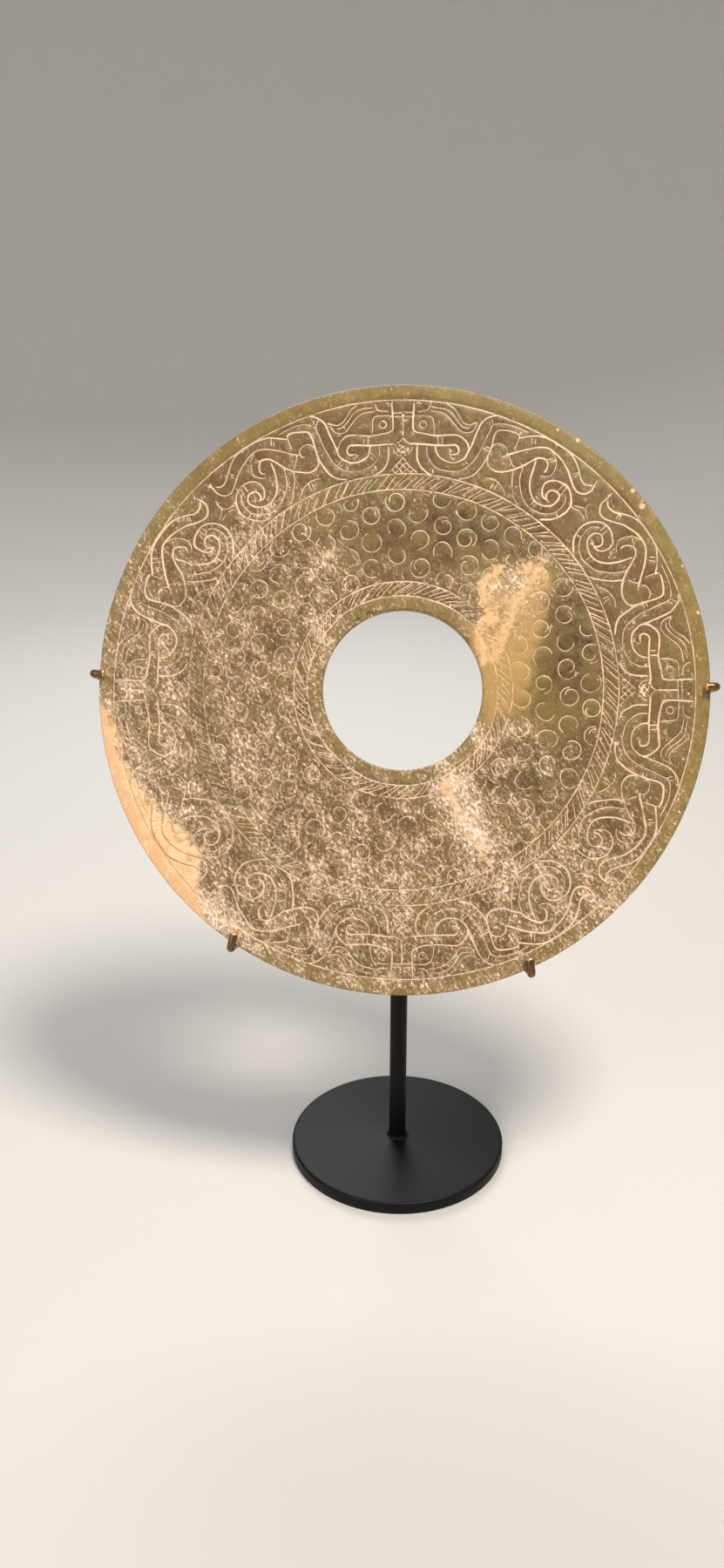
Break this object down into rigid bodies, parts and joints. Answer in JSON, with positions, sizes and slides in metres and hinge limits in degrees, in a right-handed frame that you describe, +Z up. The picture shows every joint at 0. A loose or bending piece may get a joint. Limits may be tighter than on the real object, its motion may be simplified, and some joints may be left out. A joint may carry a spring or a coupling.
{
  "type": "jade bi disc on a display mount",
  "caption": "Flat carved jade ring with animal masks, rope borders and a grain field, leaning back in brass claws on a black post with a round foot.",
  "frame": {"origin": "middle of the foot's underside, on the post's axis", "axes": "+Z up along the post, +X to the right as the carved face is seen, the carved face looks towards -Y and leans back by 20 degrees"},
  "size_m": [0.2367, 0.0913, 0.3099],
  "materials": {
    "jade": "polished, with incised lines",
    "brass": "brown patina, bright at the cut ends",
    "black_paint": "satin black paint on steel"
  },
  "bodies": {
    "root": {"jade_disc": "jade", "mount_claws": "brass", "support_post": "black_paint"}
  },
  "joints": []
}
